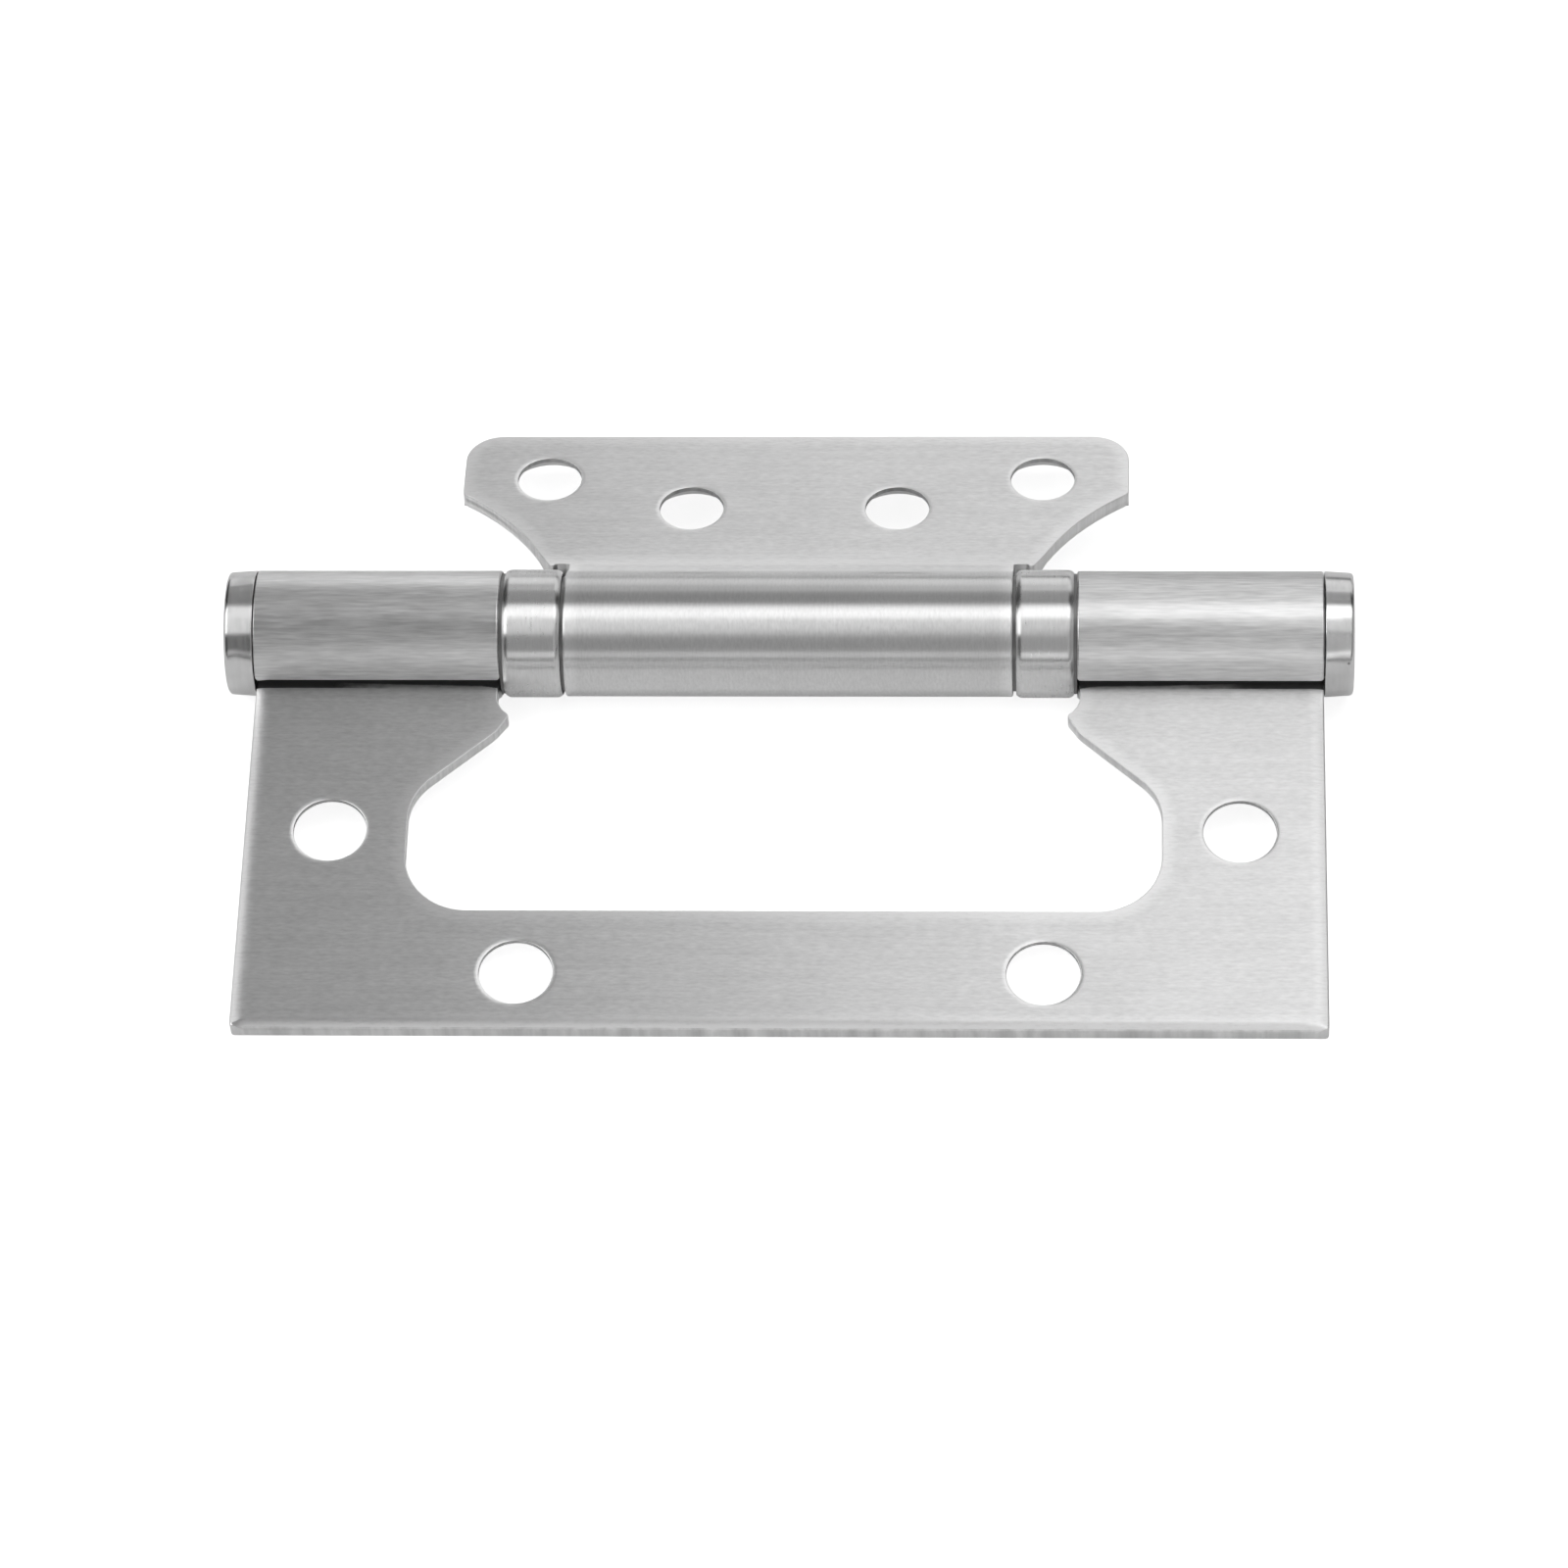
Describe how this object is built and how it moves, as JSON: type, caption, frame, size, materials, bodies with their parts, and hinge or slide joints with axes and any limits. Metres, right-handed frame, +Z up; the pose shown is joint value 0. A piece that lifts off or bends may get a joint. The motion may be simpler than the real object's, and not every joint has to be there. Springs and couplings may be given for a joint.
{
  "type": "folding door hinge",
  "caption": "Butt hinge for a folding door: a winged leaf folds flat into the window of a larger leaf, on one pin with ball thrust bearings.",
  "frame": {"origin": "on the surface the hinge lies on, under the middle of its bounding box", "axes": "+X along the pin, +Y towards the small inner leaf, +Z up from the surface"},
  "size_m": [0.1056, 0.0688, 0.012],
  "materials": {
    "brushed_steel": "brushed along the pin",
    "polished_steel": "turned and polished",
    "ground_steel": "ground",
    "polished_balls": "polished",
    "nylon": "moulded"
  },
  "bodies": {
    "frame_side": {"outer_leaf": "brushed_steel", "hinge_pin": "ground_steel", "left_end_cap": "polished_steel", "right_end_cap": "polished_steel", "left_bearing_sleeve": "polished_steel", "right_bearing_sleeve": "polished_steel", "left_fixed_race": "ground_steel", "right_fixed_race": "ground_steel"},
    "door_side": {"inner_leaf": "brushed_steel", "left_moving_race": "ground_steel", "right_moving_race": "ground_steel"},
    "left_ball_ring": {"left_ball_cage": "nylon", "left_ball_1": "polished_balls", "left_ball_2": "polished_balls", "left_ball_3": "polished_balls", "left_ball_4": "polished_balls", "left_ball_5": "polished_balls", "left_ball_6": "polished_balls"},
    "right_ball_ring": {"right_ball_cage": "nylon", "right_ball_1": "polished_balls", "right_ball_2": "polished_balls", "right_ball_3": "polished_balls", "right_ball_4": "polished_balls", "right_ball_5": "polished_balls", "right_ball_6": "polished_balls"}
  },
  "joints": [
    {"name": "leaf_turn", "type": "hinge", "parent": "frame_side", "child": "door_side", "pos_m": [0, 0.00851, 0.006], "axis": [1, 0, 0], "continuous": true},
    {"name": "left_ball_ring_turn", "type": "hinge", "parent": "frame_side", "child": "left_ball_ring", "pos_m": [-0.024, 0.00851, 0.006], "axis": [1, 0, 0], "continuous": true},
    {"name": "right_ball_ring_turn", "type": "hinge", "parent": "frame_side", "child": "right_ball_ring", "pos_m": [0.024, 0.00851, 0.006], "axis": [1, 0, 0], "continuous": true}
  ],
  "couplings": [
    {"joint": "left_ball_ring_turn", "follows": "leaf_turn", "ratio": 0.5},
    {"joint": "right_ball_ring_turn", "follows": "leaf_turn", "ratio": 0.5}
  ]
}
